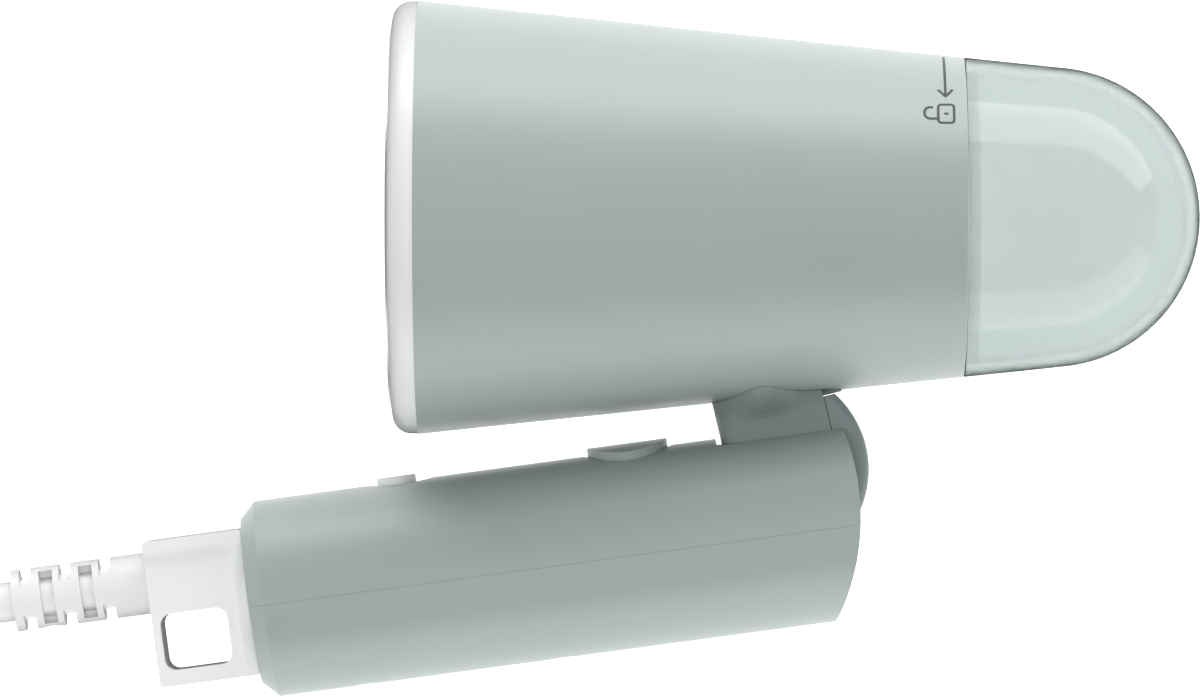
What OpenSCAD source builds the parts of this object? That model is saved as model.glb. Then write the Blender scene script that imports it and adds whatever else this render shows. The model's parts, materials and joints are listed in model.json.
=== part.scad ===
// Folding travel steamer with a clear rear tank, lying on its side, millimetres.
// The head's axis runs along X, from the steam plate at -X to the tank at +X. The handle is folded
// under the head, towards -Y, and swings about an axis along Z. The mid-plane of head and handle is
// level, and the widest rim of the head cone touches the floor, z = 0. The origin is on the floor
// below the middle of the steamer's box, measured without its cord.

/* [Head] */
// Diameter of the head cone at its front rim
shell_front_d = 75.9; // [75:0.1:77]
// Length of the head cone
shell_len = 95.3; // [95:0.1:97]
// Half angle of the head cone
cone_angle = 5.98; // [5.9:0.01:6.1]
// Thickness of the plastic shells
wall = 2.2; // [1.8:0.1:2.4]
// Diameter of the steam plate
plate_d = 66.4; // [64:0.1:66.5]
// How far the steam plate's face stands in front of the cone
plate_front = 4.9; // [4.6:0.1:5.2]
// Diameter of one steam hole
steam_hole_d = 2.6; // [2:0.1:3]

/* [Tank] */
// Distance from the front rim to the centre of the tank's round end
dome_x = 110.4; // [108:0.2:114]
// Thickness of the tank's clear wall
tank_wall = 2; // [1.6:0.1:2.4]
// Radius of the tank's mouth, which plugs into the head
mouth_r = 22.6; // [22:0.1:22.7]

/* [Hinge] */
// Distance from the front rim to the fold axis
hinge_x = 66.5; // [64:0.5:69]
// Distance from the head's axis down to the fold axis
hinge_drop = 54.2; // [53.8:0.1:55]
// Lean of the neck from square to the head's axis
neck_lean = 13.4; // [12:0.1:15]
// Thickness of the neck where it runs between the handle's cheeks
tongue_w = 12; // [11:0.1:12]
// Diameter of the hinge pin
pin_d = 5; // [4:0.1:5]

/* [Handle] */
// Diameter of the handle
handle_d = 34.5; // [33:0.1:36]
// Length of the handle from its fold axis to its cord end
handle_len = 96.6; // [94:0.2:99]
// Angle of the folded handle to the head's axis
handle_tilt = 7.7; // [6.5:0.1:8.5]
// Chamfer round the handle's cord end
end_chamfer = 2.7; // [1:0.1:3]
// Diameter of the steam trigger
trigger_d = 14.1; // [12:0.1:15]
// Distance of the steam trigger from the fold axis
trigger_at = 27.9; // [26:0.1:29]
// Diameter of the power button
button_d = 6.9; // [6:0.1:7.5]
// Distance of the power button from the fold axis
button_at = 68.7; // [66:0.1:70]

/* [Cord] */
// Diameter of the mains cord
cord_d = 6.9; // [6:0.1:7]
// Diameter of the strain relief
relief_d = 10.8; // [10:0.1:12]
// Length of the strain relief
relief_len = 23.8; // [22:0.1:26]
// Diameter of the plug's two pins
plug_pin_d = 4.8; // [4:0.1:4.8]
// Distance between the plug's two pins
plug_pin_pitch = 19; // [17.5:0.5:19]

/* [Hidden] */
$fn = 96;

sage = [0.66, 0.71, 0.70];
dark_sage = [0.46, 0.50, 0.49];
cord_white = [0.93, 0.93, 0.92];
clear_grey = [0.80, 0.85, 0.83, 0.4];
steel = [0.75, 0.76, 0.78];
alloy = [0.80, 0.81, 0.82];
rubber_grey = [0.55, 0.56, 0.56];
copper = [0.72, 0.42, 0.25];
board_green = [0.10, 0.38, 0.22];
black_plastic = [0.12, 0.12, 0.13];

// Head
shell_r = shell_front_d / 2;
function cone_r(x) = shell_r - x * tan(cone_angle);
function shell_inner_r(x) = cone_r(x) - wall;
seam = 0.1;                         // gap between the head and what is fastened to it
ring_front = plate_front - 0.4;     // the plate stands 0.4 proud of its ring
ring_round = 3.2;
ring_outer_r = shell_r - 0.1;
ring_spigot = 5;
plate_t = 3;
plate_back = plate_t - plate_front;
gasket_t = 1.5;
chamber_x0 = plate_back + gasket_t;
chamber_r = 31;
chamber_x1 = 17;
cover_t = 2;
cover_x1 = chamber_x1 + cover_t;
heater_ring_r = 22;
heater_d = 6.6;
heater_end_d = 7.4;                 // the element's straight ends are a little thicker
heater_x = 10;
heater_gap = 30;                    // half of the open angle between the heater's ends
inlet_d = 6;
shield_x = 28;
shield_t = 1.2;
screw_circle_r = 28.6;
screw_d = 2.5;

// Pump, on the head's axis
pump_x0 = 36;
pump_x1 = 72;
pump_tube_d = 11;
pump_bore_d = 6.6;
plunger_d = 6;
plunger_x0 = 50;
plunger_len = 12;
yoke_x0 = 46;
yoke_x1 = 66;
yoke_w = 26;
yoke_t = 1.5;
coil_d = 22;
hose_d = 8.4;

// Tank and its seat
dome_r = cone_r(dome_x) * cos(cone_angle);
tank_x0 = shell_len + 0.2;
tank_apex = dome_x + dome_r;
mouth_x0 = 87;
mouth_inner_r = mouth_r - tank_wall;
cap_t = 2.5;
cap_fit = 0.6;                      // the cap is this much smaller than the mouth's bore
cap_lug_r = 21.3;
cap_lug_w = 4;
cap_turn = 60;
cap_groove_x0 = 88.2;
cap_groove_x1 = 90;
receiver_x0 = 82;
receiver_x1 = 84.5;
socket_r = 8;
nozzle_r = 3.8;
lug_w = 7.4;
lug_depth = 1.3;
lock_x0 = 85;
lock_x1 = shell_len - 0.6;
lock_r = 25.2;

// Neck, about the fold axis: +x is its rear side, +y runs up to the head
neck_front = 9.75;
neck_rear = 9.4;
cap_gap = 0.15;
cap_c = [-3, 11.1];
cap_r = 17.7;
cap_top = 21.2;
neck_nose = 3;                      // radius of the neck's front edges
flare_y0 = 19;
flare_y1 = 26.5;
boss_x = -1;
boss_len = 10.5;
boss_w = 11.8;
spigot_d = 11;
spigot_top = 31;
nut_d = 16.4;
nut_y0 = 27.4;
nut_y1 = 30.4;
washer_d = 11;

// Handle, about the fold axis: +x is its hinge end, +y faces the head
handle_r = handle_d / 2;
cavity_r = handle_r - wall;
part_y = -0.7;                      // the two shells meet just below the axis
part_gap = 0.03;
hinge_end_c = [-32, 6.2];           // the hinge end is one large arc in side view
hinge_end_r = 43.1;
slot_w = tongue_w + 0.6;
pocket_r = 16;
cavity_end = -17;
button_travel = 1;
trigger_crown_r = handle_r + 1.3;
button_top = handle_r + 1;
dish_chord = 12;
dish_depth = 0.9;
dish_r = dish_chord * dish_chord / 8 / dish_depth + dish_depth / 2;
board_y = 3;
board_t = 1.6;
switch_top = 9.6;
plunger_top = 10.4;
boss_d = 6;
screw_posts = [[-78.5, 0], [-44, 0]];
screw_seat = -13.4;

// Cord connector and strain relief, in the handle's axes
block_len = 17.5;
block_h = 25.6;
block_w = 15.8;
pocket_depth = 0.9;
hole_w = 11.8;
hole_h = 9.9;
cord_y = 5.5;
cord_gap = 0.05;
block_x0 = -handle_len - block_len;
relief_x0 = block_x0 - relief_len;
hole_x0 = block_x0 + 1.4;
hole_y0 = -10.1;
notch_pitch = 7;

// Steamer's box without its cord, which places the origin
relief_top = cord_y + relief_d / 2;
box_x0 = hinge_x + relief_x0 * cos(handle_tilt) - relief_top * sin(handle_tilt);
mid_x = (box_x0 + tank_apex) / 2;
low_x = end_chamfer - handle_len;
box_y0 = low_x * sin(handle_tilt) - handle_r * cos(handle_tilt) - hinge_drop;
mid_y = (box_y0 + shell_r) / 2;

// Cord lying on the floor: points by hand, in the part's own axes, then a flat round coil
cord_lift = 0.6;                    // the tie's strap lies under the coil
coil_c = [-184, -2.5];
coil_in_r = 27.5;
coil_out_r = 52.2;
relief_end = [hinge_x - mid_x + relief_x0 * cos(handle_tilt) - cord_y * sin(handle_tilt),
    relief_x0 * sin(handle_tilt) + cord_y * cos(handle_tilt) - hinge_drop - mid_y, shell_r];
lead_route = [relief_end, [-111.5, -45.4, 37.6], [-119.5, -46.4, 35.7], [-127.5, -47.5, 32.4],
    [-135.5, -48.6, 28.2], [-143.5, -49.7, 23.6], [-151.5, -50.8, 19.2], [-159.5, -51.9, 15.3],
    [-167.5, -52.9, 12.4], [-177, -54.2, 11.1]];
tail_route = [[-184, -54.7, 4.1], [-195, -54.7, 4.1], [-205, -54.7, 4.1], [-215, -54.7, 4.1],
    [-229.2, -51.9, 4.1], [-241.2, -43.9, 4.3], [-249.2, -31.9, 5.2], [-252, -17.7, 7.4],
    [-252, -8, 9.4]];
plug_at = tail_route[8];
plug_heading = 90;
plug_pitch = 12;
tie_angle = 200;
plug_face_d = 35.3;
plug_relief_len = 22;
plug_cone_len = 16;
plug_disc_len = 12;
plug_len = plug_relief_len + plug_cone_len + plug_disc_len;
plug_pin_len = 19;

// ---- Frames and helpers ----

module head_frame() {
    translate([-mid_x, -mid_y, shell_r]) children();
}

module handle_frame() {
    head_frame() translate([hinge_x, -hinge_drop, 0]) rotate([0, 0, handle_tilt]) children();
}

module neck_frame() {
    head_frame() translate([hinge_x, -hinge_drop, 0]) rotate([0, 0, neck_lean]) children();
}

// A profile drawn as [radius, distance] and turned about the X axis
module turned() {
    rotate([0, 90, 0]) rotate_extrude() children();
}

module rod(d, x0, x1) {
    translate([x0, 0, 0]) rotate([0, 90, 0]) cylinder(d = d, h = x1 - x0);
}

module taper(d0, d1, x0, x1) {
    translate([x0, 0, 0]) rotate([0, 90, 0]) cylinder(d1 = d0, d2 = d1, h = x1 - x0);
}

module tube(d, bore, x0, x1) {
    difference() {
        rod(d, x0, x1);
        rod(bore, x0 - 1, x1 + 1);
    }
}

module post(d, y0, y1) {
    translate([0, y0, 0]) rotate([-90, 0, 0]) cylinder(d = d, h = y1 - y0);
}

module block(size, centre) {
    translate(centre) cube(size, center = true);
}

module around(count, radius) {
    for (i = [0 : count - 1]) rotate([360 / count * i, 0, 0]) translate([0, radius, 0]) children();
}

function unit(v) = v / norm(v);
function tangent(route, i) =
    unit(route[min(i + 1, len(route) - 1)] - route[max(i - 1, 0)]);
function side_of(t, up) = unit(cross(t, up));

// A round section swept along a route; no part of the route is parallel to up
module sweep(route, d, sides = 10, up = [0, 0, 1]) {
    rings = [for (i = [0 : len(route) - 1])
        let (t = tangent(route, i), s = side_of(t, up), n = cross(s, t))
        for (k = [0 : sides - 1])
            route[i] + d / 2 * (cos(360 * k / sides) * s + sin(360 * k / sides) * n)];
    last = (len(route) - 1) * sides;
    walls = [for (i = [0 : len(route) - 2]) for (k = [0 : sides - 1])
        [i * sides + k, i * sides + (k + 1) % sides,
            (i + 1) * sides + (k + 1) % sides, (i + 1) * sides + k]];
    start_face = [[for (k = [sides - 1 : -1 : 0]) k]];
    end_face = [[for (k = [0 : sides - 1]) last + k]];
    polyhedron(points = rings, faces = concat(walls, start_face, end_face));
}

// A compression spring along Y with flat-wound ends, wire centre from y0 to y1
module coil_spring(mean_d, wire_d, turns, y0, y1) {
    steps = 12;
    count = turns * steps;
    sweep([for (i = [0 : count])
        [mean_d / 2 * cos(i * 360 / steps), y0 + (y1 - y0) * i / count,
            mean_d / 2 * sin(i * 360 / steps)]], wire_d, 6, [0, 1, 0]);
}

// ---- Head ----

module head_shell() {
    color(sage) head_frame() difference() {
        taper(2 * cone_r(0), 2 * cone_r(shell_len), 0, shell_len);
        // Inside, left 0.5 thicker at the rear lip that holds the lock ring
        taper(2 * shell_inner_r(-1), 2 * shell_inner_r(lock_x1 + 0.1), -1, lock_x1 + 0.1);
        rod(2 * (lock_r - 0.3), 90, shell_len + 1);
        // Hole for the neck's spigot
        translate([hinge_x, -hinge_drop, 0]) rotate([0, 0, neck_lean]) {
            post(spigot_d + 0.4, 20, 36);
        }
    }
}

module front_ring() {
    color("white") head_frame() difference() {
        turned() {
            translate([plate_d / 2 + 0.1, -ring_front])
                square([ring_outer_r - ring_round - plate_d / 2 - 0.1, ring_front]);
            translate([ring_outer_r - ring_round, ring_round - ring_front])
                square([ring_round, ring_front - ring_round]);
            intersection() {
                translate([ring_outer_r - ring_round, ring_round - ring_front]) circle(r = ring_round);
                translate([ring_outer_r - ring_round, -ring_front]) square([ring_round, ring_round]);
            }
            // Spigot inside the cone's rim
            translate([plate_d / 2 + 0.1, -0.01]) square([1.6, ring_spigot]);
        }
        // Three snap windows in the spigot
        around(3, plate_d / 2) translate([3, 0, 0]) cube([2, 6, 10], center = true);
    }
}

module steam_plate() {
    color(alloy) head_frame() difference() {
        rod(plate_d, -plate_front, plate_back);
        around(6, 10) steam_hole();
        rotate([15, 0, 0]) around(12, 20) steam_hole();
        around(18, 28) steam_hole();
    }
}

module steam_hole() {
    rod(steam_hole_d, -plate_front - 1, plate_back + 1);
}

module plate_gasket() {
    color("silver") head_frame() tube(64.4, 60, plate_back, chamber_x0);
}

// Heater path: an open ring with two straight ends, grown by extra for its groove
module heater_path(extra, x1) {
    translate([heater_x, 0, 0]) rotate([-90 + heater_gap, 0, 0]) rotate([0, 90, 0])
        rotate_extrude(angle = 360 - 2 * heater_gap)
            translate([heater_ring_r, 0]) circle(d = heater_d + extra);
    for (s = [-1, 1]) heater_end(s)
        rod(heater_end_d + extra, heater_x - heater_end_d / 2 - extra, x1);
}

module heater_end(s) {
    translate([0, -heater_ring_r * cos(heater_gap), s * heater_ring_r * sin(heater_gap)]) children();
}

module steam_chamber() {
    color("gainsboro") head_frame() difference() {
        union() {
            rod(2 * chamber_r, chamber_x0, chamber_x1);
            rod(64.4, chamber_x0, 2.6);
        }
        // Steam space behind the plate, evaporator space behind it and the passages between
        rod(58, chamber_x0 - 1, 2);
        rod(30, 6, chamber_x1 + 1);
        around(4, 10) rod(4, 1, 7);
        around(4, screw_circle_r) rod(screw_d, 6, chamber_x1 + 1);
        heater_path(0.2, chamber_x1 + 1);
    }
}

module chamber_cover() {
    color("gainsboro") head_frame() difference() {
        union() {
            rod(2 * chamber_r, chamber_x1, cover_x1);
            rod(inlet_d, cover_x1 - 0.5, 25);
        }
        rod(3, chamber_x1 - 1, 26);
        for (s = [-1, 1]) heater_end(s) rod(heater_end_d + 0.4, chamber_x1 - 1, cover_x1 + 1);
        around(4, screw_circle_r) rod(screw_d + 0.4, chamber_x1 - 1, cover_x1 + 1);
    }
}

module heating_element() {
    color("dimgray") head_frame() {
        heater_path(0, 24);
        for (s = [-1, 1]) heater_end(s) rod(3.2, 23.5, 33);
    }
}

module chamber_screws() {
    color(steel) head_frame() around(4, screw_circle_r) {
        rod(screw_d - 0.1, 8, cover_x1);
        rod(4.6, cover_x1, cover_x1 + 1.8);
    }
}

module thermostat() {
    color(black_plastic) head_frame() translate([0, 14, 0]) {
        rod(14, cover_x1, cover_x1 + 6);
        for (z = [-3.5, 3.5]) block([2.6, 0.8, 3], [cover_x1 + 7.2, 0, z]);
    }
}

module thermal_fuse() {
    color(steel) head_frame() translate([cover_x1 + 2.1, 0, 11]) {
        post(4, -5, 5);
        post(1, -9, 9);
    }
}

module heat_shield() {
    color("silver") head_frame() difference() {
        rod(2 * (shell_inner_r(shield_x + shield_t) - 0.3), shield_x, shield_x + shield_t);
        rod(hose_d + 0.8, shield_x - 1, shield_x + 3);
        for (s = [-1, 1]) heater_end(s) rod(6, shield_x - 1, shield_x + 3);
        translate([0, -25.8, 0]) rod(6.4, shield_x - 1, shield_x + 3);
    }
}

module pump_body() {
    color("ivory") head_frame() difference() {
        union() {
            rod(pump_tube_d, pump_x0 + 4, pump_x1);
            rod(inlet_d, pump_x0 - 5, pump_x0 + 4.5);
            rod(inlet_d, pump_x1 - 0.5, pump_x1 + 4);
        }
        rod(2.5, pump_x0 - 6, pump_x1 + 6);
        rod(pump_bore_d, pump_x0 + 7, yoke_x1 + 1);
    }
}

module pump_coil() {
    color(copper) head_frame() tube(coil_d, pump_tube_d + 0.1, yoke_x0 + yoke_t, yoke_x1 - yoke_t);
}

module pump_yoke() {
    color(steel) head_frame() difference() {
        block([yoke_x1 - yoke_x0, yoke_w, yoke_w], [(yoke_x0 + yoke_x1) / 2, 0, 0]);
        block([yoke_x1 - yoke_x0 - 2 * yoke_t, yoke_w - 2 * yoke_t, yoke_w + 2],
            [(yoke_x0 + yoke_x1) / 2, 0, 0]);
        rod(pump_tube_d + 0.1, yoke_x0 - 1, yoke_x1 + 1);
    }
}

module pump_plunger() {
    color(steel) head_frame() tube(plunger_d, 2, plunger_x0, plunger_x0 + plunger_len);
}

module pump_spring() {
    color(steel) head_frame() rotate([0, 0, -90])
        coil_spring(4.8, 0.6, 5, pump_x0 + 7.35, plunger_x0 - 0.35);
}

module pump_bracket() {
    bracket_x = yoke_x1;
    color(black_plastic) head_frame() difference() {
        rod(2 * (shell_inner_r(bracket_x + 2) - 0.3), bracket_x, bracket_x + 2);
        rod(pump_tube_d + 0.1, bracket_x - 1, bracket_x + 3);
        around(3, 19) rod(9, bracket_x - 1, bracket_x + 3);
        // Room for the neck's nut
        translate([hinge_x, -hinge_drop, 0]) rotate([0, 0, neck_lean])
            post(nut_d + 1.4, nut_y0 - 6, nut_y1 + 1);
    }
}

module outlet_hose() {
    color(rubber_grey) head_frame() tube(hose_d, inlet_d, cover_x1 + 1, pump_x0 + 3.9);
}

module inlet_hose() {
    color(rubber_grey) head_frame() tube(hose_d, inlet_d, pump_x1 + 0.1, receiver_x0 - 0.1);
}

module tank_receiver() {
    color(black_plastic) head_frame() difference() {
        union() {
            rod(2 * (shell_inner_r(receiver_x1) - 0.3), receiver_x0, receiver_x1);
            rod(inlet_d, 77, receiver_x0 + 0.5);
            rod(2 * socket_r, receiver_x1 - 0.5, 86.2);
        }
        rod(2.5, 76, 88);
        // Socket for the tank's nozzle and its seal
        rod(2 * nozzle_r + 0.6, 83.4, 88);
        // The seal's groove
        rod(11.2, 84.4, 85.7);
    }
}

module docking_seal() {
    color(rubber_grey) head_frame() tube(11, 2 * nozzle_r + 0.4, 84.45, 85.65);
}

// ---- Neck ----

// Half width of the neck at distance x from the fold axis: its rounded tongue, then the boss
// that it grows into where it meets the head
function tongue_half(x) =
    let (nose_x = max(0, neck_nose - neck_front - x))
    tongue_w / 2 - neck_nose + sqrt(max(0.01, pow(neck_nose, 2) - pow(nose_x, 2)));
function boss_half(x) =
    let (along = (x + neck_front) / (neck_rear + neck_front), off = (x - boss_x) / boss_len)
    1.5 + 3.3 * along + (boss_w - 3) * pow(cos(90 * max(-1, min(1, off))), 2);
function smooth(t) = let (c = max(0, min(1, t))) c * c * (3 - 2 * c);
function neck_half(x, y) =
    let (f = smooth((y - flare_y0) / (flare_y1 - flare_y0)))
    (1 - f) * tongue_half(x) + f * boss_half(x);

// Loft of the neck's upper end: level outlines, each with its front, its rear and two curved sides
module neck_flare() {
    steps = 28;
    layers = 12;
    top = spigot_top - 1;
    xs = [for (i = [0 : steps]) -neck_front + (neck_front + neck_rear) * (1 - cos(180 * i / steps)) / 2];
    per = 2 * (steps + 1);
    points = [for (j = [0 : layers])
        let (y = flare_y0 + (top - flare_y0) * j / layers)
        for (k = [0 : per - 1])
            let (side = k <= steps ? 1 : -1, x = xs[k <= steps ? k : per - 1 - k])
            [x, y, side * neck_half(x, y)]];
    walls = [for (j = [0 : layers - 1]) for (k = [0 : per - 1])
        [j * per + k, (j + 1) * per + k, (j + 1) * per + (k + 1) % per, j * per + (k + 1) % per]];
    bottom_face = [[for (k = [0 : per - 1]) k]];
    top_face = [[for (k = [per - 1 : -1 : 0]) layers * per + k]];
    polyhedron(points = points, faces = concat(walls, bottom_face, top_face));
}

module tongue_section() {
    translate([neck_nose - neck_front, -tongue_w / 2])
        square([neck_front + neck_rear - neck_nose, tongue_w]);
    translate([-neck_front, neck_nose - tongue_w / 2])
        square([neck_nose + 0.01, tongue_w - 2 * neck_nose]);
    for (z = [-1, 1]) translate([neck_nose - neck_front, z * (tongue_w / 2 - neck_nose)])
        circle(r = neck_nose);
}

module across_neck(y0, y1) {
    translate([0, y1, 0]) rotate([90, 0, 0]) linear_extrude(y1 - y0) children();
}

module neck_arm() {
    color(dark_sage) difference() {
        union() {
            neck_frame() intersection() {
                across_neck(-12, flare_y0 + 0.5) tongue_section();
                translate([0, 0, -tongue_w / 2]) linear_extrude(tongue_w) {
                    circle(r = neck_rear);
                    translate([-neck_front, 0]) square([neck_front + neck_rear, 30]);
                }
            }
            difference() {
                neck_frame() {
                    neck_flare();
                    // Low rib behind the neck that the cap's upper edge covers
                    block([4, 8, 7], [neck_rear + 1.4, cap_top + 4.2, 0]);
                }
                head_frame() taper(2 * cone_r(0) + seam, 2 * cone_r(shell_len) + seam, 0, shell_len);
            }
            neck_frame() post(spigot_d, 20, spigot_top);
        }
        neck_frame() {
            cylinder(d = pin_d + 0.2, h = 40, center = true);
            post(6.6, 7.5, 40);
            for (s = [-1, 1])
                translate([0, 0, s * 7.25]) cylinder(d = washer_d + 0.3, h = 4, center = true);
        }
    }
}

module neck_cap() {
    edge = 1.5;
    color(dark_sage) neck_frame() intersection() {
        translate([cap_c[0], cap_c[1], 0]) rotate_extrude($fn = 128) {
            translate([0, -tongue_w / 2]) square([cap_r - edge, tongue_w]);
            translate([0, edge - tongue_w / 2]) square([cap_r, tongue_w - 2 * edge]);
            for (z = [-1, 1]) translate([cap_r - edge, z * (tongue_w / 2 - edge)]) circle(r = edge);
        }
        translate([neck_rear + cap_gap, -10, -10]) cube([20, 10 + cap_top, 20]);
    }
}

// Slotted nut that pulls the neck's spigot up from inside the head
module neck_nut() {
    color(steel) neck_frame() difference() {
        post(nut_d, nut_y0, nut_y1);
        post(spigot_d + 0.1, nut_y0 - 1, nut_y1 + 1);
        for (a = [45, 135]) translate([0, nut_y1, 0]) rotate([0, a, 0])
            block([nut_d + 1, 2, 2.5], [0, 0, 0]);
    }
}

module head_wires() {
    color("dimgray") neck_frame() sweep([[0, 8.5, 0], [0, 16, 0], [0, 24, 0], [-0.3, 31, 0],
        [-4, 36, 0], [-11, 38, 0], [-21, 37.6, 0], [-31, 36.3, 0], [-36, 35, 0]], 4.6, 10);
}

module hinge_washers() {
    color("white") neck_frame() for (s = [-1, 1]) translate([0, 0, s * 5.71]) difference() {
        cylinder(d = washer_d, h = 0.88, center = true);
        cylinder(d = pin_d + 0.3, h = 2, center = true);
    }
}

// ---- Tank ----

module lock_ring() {
    color(black_plastic) head_frame() difference() {
        rod(2 * lock_r, lock_x0, lock_x1);
        rod(2 * mouth_r + 0.6, lock_x0 - 1, lock_x1 + 1);
        around(2, mouth_r) block([lock_x1 - lock_x0 + 2, 2 * lug_depth + 1.2, lug_w + 0.6],
            [(lock_x0 + lock_x1) / 2, 0, 0]);
    }
}

// Half section of the tank, [radius, distance], from x0 to its round end and inset from its outside
module tank_section(x0, inset) {
    round_r = dome_r - inset;
    join = dome_x + round_r * sin(cone_angle);
    polygon([[0, x0], [cone_r(x0) - inset / cos(cone_angle), x0],
        [round_r * cos(cone_angle), join], [0, join]]);
    intersection() {
        translate([0, dome_x]) circle(r = round_r);
        translate([0, join]) square([dome_r, dome_r]);
    }
}

module tank_bowl() {
    color(clear_grey) head_frame() turned() difference() {
        tank_section(tank_x0, 0);
        tank_section(tank_x0 - 1, tank_wall);
    }
}

// Collar that closes the bowl's open end down to the mouth, with lugs for the lock ring's grooves
module tank_collar() {
    flange_x = tank_x0 + tank_wall;
    fit = 2 * tank_wall / cos(cone_angle) + 0.1;
    groove_r = cap_lug_r + 0.3;
    margin = 7;
    color(clear_grey) head_frame() {
        difference() {
            union() {
                taper(2 * cone_r(tank_x0) - fit, 2 * cone_r(flange_x) - fit, tank_x0, flange_x);
                rod(2 * mouth_r, mouth_x0, tank_x0 + 0.1);
            }
            rod(2 * mouth_inner_r, mouth_x0 - 1, flange_x + 1);
            // Grooves in which the cap's lugs turn, each with a way in from the front
            around(2, 0) {
                rotate([-margin, 0, 0]) rotate([0, 90, 0]) rotate_extrude(angle = cap_turn + 2 * margin)
                    translate([mouth_inner_r - 1, cap_groove_x0])
                        square([groove_r - mouth_inner_r + 1, cap_groove_x1 - cap_groove_x0]);
                rotate([cap_turn, 0, 0])
                    block([6, cap_lug_w + 0.8, 3], [cap_groove_x1 - 3, 0, 1.5 - groove_r]);
            }
        }
        around(2, mouth_r - 0.3)
            translate([mouth_x0 + 1, 0, -lug_w / 2]) cube([4, lug_depth + 0.3, lug_w]);
    }
}

// Cap that closes the mouth with a part turn and carries the tank's valve
module tank_cap() {
    rim_d = 2 * mouth_inner_r - cap_fit;
    color(cord_white) head_frame() difference() {
        union() {
            rod(rim_d, mouth_x0, mouth_x0 + cap_t);
            rod(2 * nozzle_r, 84.7, mouth_x0 + 0.5);
            rod(12, mouth_x0 + 1, 94.6);
            tube(rim_d, rim_d - 4, mouth_x0 + 1, 94);
            intersection() {
                for (z = [-1, 1])
                    block([1.2, cap_lug_w, 4], [cap_groove_x0 + 0.9, 0, z * (cap_lug_r - 2)]);
                rod(2 * cap_lug_r, mouth_x0, 92);
            }
        }
        // Valve bore, open to the nozzle, and its cross hole to the tank
        rod(2.6, 84, 96);
        rod(8, 89, 94);
        translate([92, 0, 0]) post(4, -8, 8);
        // Seal groove and two blind finger holes that turn the cap
        tube(50, rim_d - 2.2, 90.9, 92.9);
        for (y = [-13, 13]) translate([0, y, 0]) rod(7, 86, 88.3);
    }
}

module tank_seal() {
    color(rubber_grey) head_frame() tube(2 * mouth_inner_r - 0.4, 2 * mouth_inner_r - 2.7, 90.95, 92.85);
}

module valve_plunger() {
    color(alloy) head_frame() {
        rod(2, 85.5, 89.5);
        rod(7.4, 89.05, 90.2);
    }
}

module valve_spring() {
    color(steel) head_frame() rotate([0, 0, -90]) coil_spring(5.6, 0.5, 2, 90.55, 93.65);
}

// ---- Handle ----

module handle_outline() {
    intersection() {
        union() {
            rod(handle_d, end_chamfer - handle_len, 20);
            taper(handle_d - 2 * end_chamfer, handle_d, -handle_len, end_chamfer - handle_len);
        }
        union() {
            translate([hinge_end_c[0], hinge_end_c[1], 0])
                cylinder(r = hinge_end_r, h = 60, center = true, $fn = 180);
            block([100, 60, 60], [hinge_end_c[0] - 50, 0, 0]);
        }
    }
}

// The side profile that the neck and its cap sweep through as the handle folds
module hinge_pocket() {
    translate([0, 0, -slot_w / 2]) linear_extrude(slot_w) {
        circle(r = pocket_r);
        polygon([[-12.9, 22], [-10.6, 0], [0, -8], [6, -13.2], [9, -18.5], [30, -18.5], [30, 22]]);
    }
}

module handle_hollows() {
    rod(2 * cavity_r, 2.4 - handle_len, cavity_end);
    hinge_pocket();
    block([8, 9, 9], [cavity_end + 1, 0, 0]);
    cylinder(d = pin_d + 0.1, h = 30.4, center = true);
    rod(18.4, -handle_len - 1, 3.4 - handle_len);
}

module screw_bosses() {
    intersection() {
        for (p = screw_posts) translate([p[0], 0, p[1]]) post(boss_d, -20, 20);
        rod(2 * cavity_r + 1, -90, cavity_end);
    }
}

module half(y0, y1) {
    intersection() {
        children();
        block([200, y1 - y0, 60], [-50, (y0 + y1) / 2, 0]);
    }
}

module handle_upper() {
    color(sage) handle_frame() half(part_y + part_gap / 2, 30) difference() {
        union() {
            difference() {
                handle_outline();
                handle_hollows();
            }
            screw_bosses();
        }
        // Trigger: guide hole, broken edge and room for the flange below
        translate([-trigger_at, 0, 0]) {
            post(trigger_d + 0.6, 5, 30);
            translate([0, 16.6, 0]) rotate([-90, 0, 0])
                cylinder(d1 = trigger_d + 0.6, d2 = trigger_d + 3, h = 1.3);
            post(17.4, 0, 14.1);
        }
        // Power button: dish, guide hole and room for its flange
        translate([-button_at, 0, 0]) {
            translate([0.6, handle_r - dish_depth + dish_r, 0]) sphere(r = dish_r, $fn = 128);
            post(button_d + 0.5, 5, 30);
            post(10, 0, 14.7);
        }
        for (p = screw_posts) translate([p[0], 0, p[1]]) post(2.1, -2, 11);
    }
}

module handle_lower() {
    color(sage) handle_frame() half(-30, part_y - part_gap / 2) difference() {
        union() {
            difference() {
                handle_outline();
                handle_hollows();
            }
            screw_bosses();
        }
        for (p = screw_posts) translate([p[0], 0, p[1]]) {
            post(2.9, -20, 0);
            post(5, -20, screw_seat);
        }
    }
}

module handle_screws() {
    color(steel) handle_frame() for (p = screw_posts) translate([p[0], 0, p[1]]) {
        post(2.1, screw_seat - 0.1, screw_seat + 20);
        post(4.6, screw_seat - 1.6, screw_seat);
    }
}

module hinge_pin() {
    color(steel) handle_frame() cylinder(d = pin_d, h = 30, center = true);
}

module circuit_board() {
    color(board_green) handle_frame() difference() {
        union() {
            block([54, board_t, 20], [-47, board_y + board_t / 2, 0]);
            // Driver parts on the underside
            block([10, 5, 12], [-56, board_y - 2.5, 0]);
            for (u = [-34, -28]) translate([u, 0, 4]) post(5, board_y - 7, board_y + 0.1);
        }
        translate([screw_posts[1][0], 0, 0]) post(boss_d + 0.6, -10, 10);
    }
}

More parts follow.
